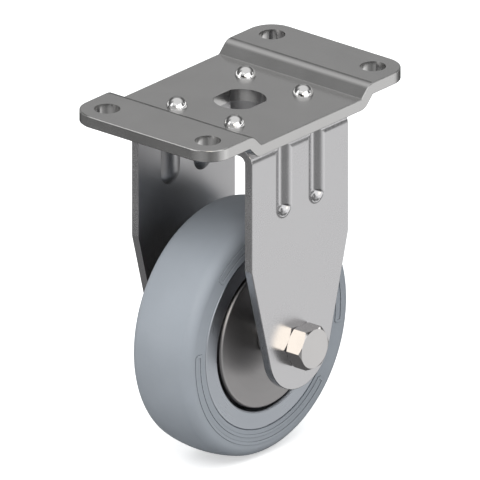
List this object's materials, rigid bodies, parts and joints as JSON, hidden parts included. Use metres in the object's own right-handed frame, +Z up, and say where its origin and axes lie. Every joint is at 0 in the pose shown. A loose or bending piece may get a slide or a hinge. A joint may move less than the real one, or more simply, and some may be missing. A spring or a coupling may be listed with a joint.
{
  "type": "fixed caster",
  "caption": "Fixed caster: joggled steel mounting plate, folded fork with pressed ribs, and a grey rubber-tyred wheel on ball bearings.",
  "frame": {"origin": "centre of the mounting face: the top of the plate's raised ends, at the middle of the bolt pattern", "axes": "+Z up out of the mounting face, X the rolling direction and the plate's long side, Y along the axle with the bolt head on the -Y side"},
  "size_m": [0.1484, 0.099, 0.1848],
  "materials": {
    "plate": "satin stainless steel",
    "fork": "satin stainless steel, nearly a mirror",
    "rivet": "polished",
    "axle_hardware": "bright stainless steel",
    "nut_insert": "natural polyamide",
    "spacer": "turned steel",
    "cover": "pressed stainless steel",
    "bearing_steel": "ground bearing steel",
    "seal": "black rubber",
    "cage": "polyamide",
    "ball": "polished",
    "tyre": "smooth grey rubber",
    "rim": "polished"
  },
  "bodies": {
    "frame": {"mounting_plate": "plate", "fork": "fork", "rivet_front_near": "rivet", "rivet_front_far": "rivet", "rivet_rear_near": "rivet", "rivet_rear_far": "rivet", "axle_bolt": "axle_hardware", "axle_nut": "axle_hardware", "nut_insert": "nut_insert", "axle_sleeve": "spacer", "bearing_spacer": "spacer", "side_spacer_near": "spacer", "side_spacer_far": "spacer", "shim_near": "spacer", "shim_far": "spacer", "cover_disc_near": "cover", "cover_disc_far": "cover", "bearing_inner_ring_near": "bearing_steel", "bearing_inner_ring_far": "bearing_steel"},
    "wheel": {"tyre": "tyre", "rim": "rim", "bearing_outer_ring_near": "bearing_steel", "bearing_outer_ring_far": "bearing_steel", "bearing_outer_seal_near": "seal", "bearing_outer_seal_far": "seal", "bearing_inner_seal_near": "seal", "bearing_inner_seal_far": "seal"},
    "cage_near": {"bearing_cage_near": "cage", "bearing_balls_near": "ball"},
    "cage_far": {"bearing_cage_far": "cage", "bearing_balls_far": "ball"}
  },
  "joints": [
    {"name": "wheel_spin", "type": "hinge", "parent": "frame", "child": "wheel", "pos_m": [0, 0, -0.1223], "axis": [0, 1, 0], "continuous": true},
    {"name": "cage_near_spin", "type": "hinge", "parent": "frame", "child": "cage_near", "pos_m": [0, 0, -0.1223], "axis": [0, 1, 0], "continuous": true},
    {"name": "cage_far_spin", "type": "hinge", "parent": "frame", "child": "cage_far", "pos_m": [0, 0, -0.1223], "axis": [0, 1, 0], "continuous": true}
  ],
  "couplings": [
    {"joint": "cage_near_spin", "follows": "wheel_spin", "ratio": 0.619},
    {"joint": "cage_far_spin", "follows": "wheel_spin", "ratio": 0.619}
  ]
}
